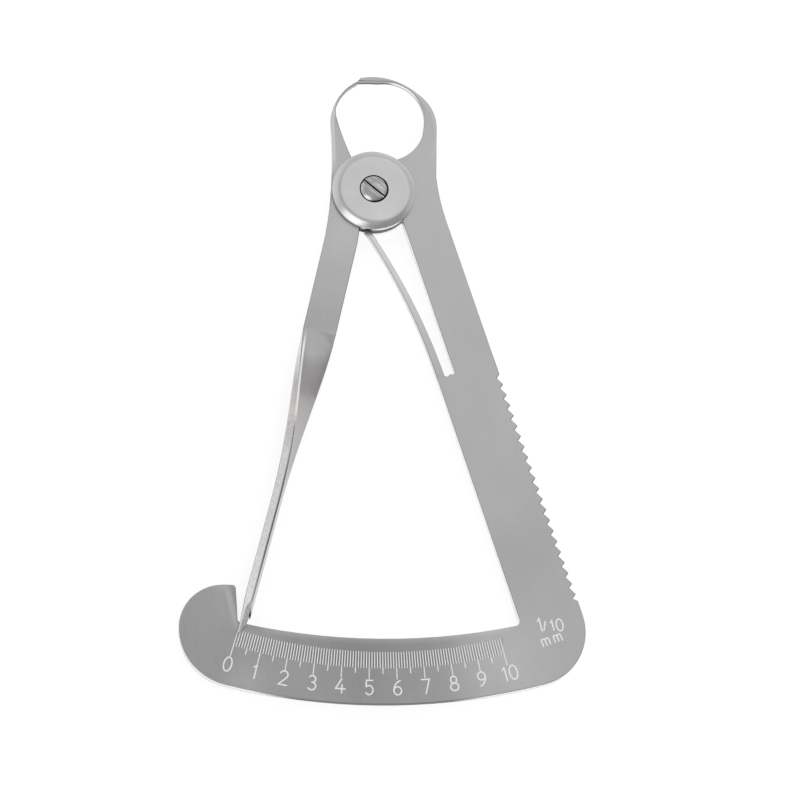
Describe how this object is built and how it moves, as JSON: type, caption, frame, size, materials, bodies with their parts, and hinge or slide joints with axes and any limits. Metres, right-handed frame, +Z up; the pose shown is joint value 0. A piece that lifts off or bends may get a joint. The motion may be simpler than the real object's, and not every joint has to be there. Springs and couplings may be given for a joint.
{
  "type": "dental crown caliper",
  "caption": "Small steel crown thickness caliper: two curved jaws, a sprung arm ending in a pointer, and an engraved arc scale on a serrated grip.",
  "frame": {"origin": "on the pivot axis, in the outer face of the rear disc, on which the caliper lies", "axes": "+Z up out of the scale face along the pivot, +Y from the scale towards the jaws, +X towards the grip"},
  "size_m": [0.0644, 0.1057, 0.0046],
  "materials": {
    "sheet_steel": "satin",
    "disc_steel": "satin",
    "screw_steel": "brushed",
    "spring_steel": "satin"
  },
  "bodies": {
    "plate": {"scale_plate": "sheet_steel", "leaf_spring": "spring_steel", "front_disc": "disc_steel", "rear_disc": "disc_steel", "pivot_screw": "screw_steel"},
    "arm": {"pointer_arm": "sheet_steel"}
  },
  "joints": [
    {"name": "arm_pivot", "type": "hinge", "parent": "plate", "child": "arm", "pos_m": [0, 0, 0.00225], "axis": [0, 0, 1], "range_deg": [0, 31.1], "stiffness_Nm_per_rad": 0.08, "springref_deg": -20.05, "deforming": ["leaf_spring"]}
  ]
}
